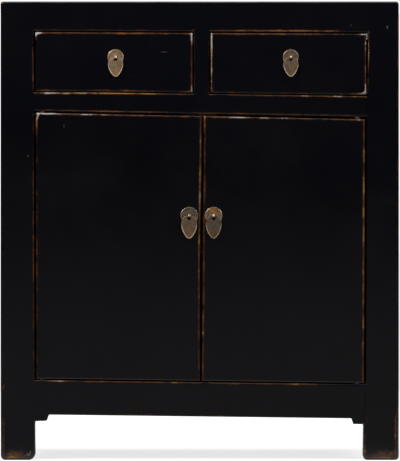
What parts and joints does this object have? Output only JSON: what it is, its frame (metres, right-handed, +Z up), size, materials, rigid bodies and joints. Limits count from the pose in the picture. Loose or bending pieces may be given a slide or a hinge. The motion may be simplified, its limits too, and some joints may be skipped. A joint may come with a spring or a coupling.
{
  "type": "kang cabinet",
  "caption": "Black-lacquered wooden cabinet on square legs: drawers side by side above a double-door cupboard, brass drop pulls on round plates, edges worn to brown.",
  "frame": {"origin": "on the floor, under the middle of the bounding box of the whole cabinet with its pulls", "axes": "+Z up, -Y out of the front with the drawers and doors, +X to the right of someone who faces the front"},
  "size_m": [0.78, 0.4094, 0.9],
  "materials": {
    "black_lacquer": "satin black lacquer, worn to brown wood at the edges",
    "bare_wood": "bare aged softwood",
    "aged_brass": "aged, dull"
  },
  "bodies": {
    "carcass": {"front_post_left": "black_lacquer", "front_post_right": "black_lacquer", "back_post_left": "black_lacquer", "back_post_right": "black_lacquer", "top_frame_front": "black_lacquer", "top_frame_back": "black_lacquer", "top_frame_left": "black_lacquer", "top_frame_right": "black_lacquer", "top_panel": "black_lacquer", "top_batten": "bare_wood", "front_top_rail": "black_lacquer", "drawer_divider": "black_lacquer", "drawer_rail": "black_lacquer", "front_bottom_rail": "black_lacquer", "front_apron": "black_lacquer", "side_top_rail_left": "black_lacquer", "side_top_rail_right": "black_lacquer", "side_bottom_rail_left": "black_lacquer", "side_bottom_rail_right": "black_lacquer", "side_panel_left": "black_lacquer", "side_panel_right": "black_lacquer", "back_top_rail": "black_lacquer", "back_middle_rail": "black_lacquer", "back_bottom_rail": "black_lacquer", "back_panels": "bare_wood", "bottom_panel": "bare_wood", "shelf": "bare_wood", "shelf_cleats": "bare_wood", "drawer_runner_left": "bare_wood", "drawer_runner_right": "bare_wood", "drawer_runner_centre": "bare_wood", "stop_blocks": "bare_wood"},
    "door_left": {"door_left_hinge_stile": "black_lacquer", "door_left_meeting_stile": "black_lacquer", "door_left_rails": "black_lacquer", "door_left_panel": "black_lacquer", "door_left_pull_plate": "aged_brass", "door_left_pull_eye": "aged_brass"},
    "door_left_drop": {"door_left_pull_drop": "aged_brass"},
    "drawer_left": {"drawer_left_front": "black_lacquer", "drawer_left_sides": "bare_wood", "drawer_left_back": "bare_wood", "drawer_left_bottom": "bare_wood", "drawer_left_pull_plate": "aged_brass", "drawer_left_pull_eye": "aged_brass"},
    "drawer_left_drop": {"drawer_left_pull_drop": "aged_brass"},
    "door_right": {"door_right_hinge_stile": "black_lacquer", "door_right_meeting_stile": "black_lacquer", "door_right_rails": "black_lacquer", "door_right_panel": "black_lacquer", "door_right_pull_plate": "aged_brass", "door_right_pull_eye": "aged_brass"},
    "door_right_drop": {"door_right_pull_drop": "aged_brass"},
    "drawer_right": {"drawer_right_front": "black_lacquer", "drawer_right_sides": "bare_wood", "drawer_right_back": "bare_wood", "drawer_right_bottom": "bare_wood", "drawer_right_pull_plate": "aged_brass", "drawer_right_pull_eye": "aged_brass"},
    "drawer_right_drop": {"drawer_right_pull_drop": "aged_brass"}
  },
  "joints": [
    {"name": "door_left_pivot", "type": "hinge", "parent": "carcass", "child": "door_left", "pos_m": [-0.309, -0.1853, 0.153], "axis": [0, 0, -1], "range_deg": [0, 105]},
    {"name": "door_left_drop_swing", "type": "hinge", "parent": "door_left", "child": "door_left_drop", "pos_m": [-0.0205, -0.2005, 0.4795], "axis": [-1, 0, 0], "range_deg": [-4, 170]},
    {"name": "drawer_left_slide", "type": "slide", "parent": "carcass", "child": "drawer_left", "axis": [0, -1, 0], "range_m": [0, 0.25]},
    {"name": "drawer_left_drop_swing", "type": "hinge", "parent": "drawer_left", "child": "drawer_left_drop", "pos_m": [-0.16475, -0.2005, 0.79], "axis": [-1, 0, 0], "range_deg": [-4, 170]},
    {"name": "door_right_pivot", "type": "hinge", "parent": "carcass", "child": "door_right", "pos_m": [0.309, -0.1853, 0.153], "axis": [0, 0, 1], "range_deg": [0, 105]},
    {"name": "door_right_drop_swing", "type": "hinge", "parent": "door_right", "child": "door_right_drop", "pos_m": [0.0275, -0.2005, 0.4795], "axis": [-1, 0, 0], "range_deg": [-4, 170]},
    {"name": "drawer_right_slide", "type": "slide", "parent": "carcass", "child": "drawer_right", "axis": [0, -1, 0], "range_m": [0, 0.25]},
    {"name": "drawer_right_drop_swing", "type": "hinge", "parent": "drawer_right", "child": "drawer_right_drop", "pos_m": [0.17875, -0.2005, 0.79], "axis": [-1, 0, 0], "range_deg": [-4, 170]}
  ]
}
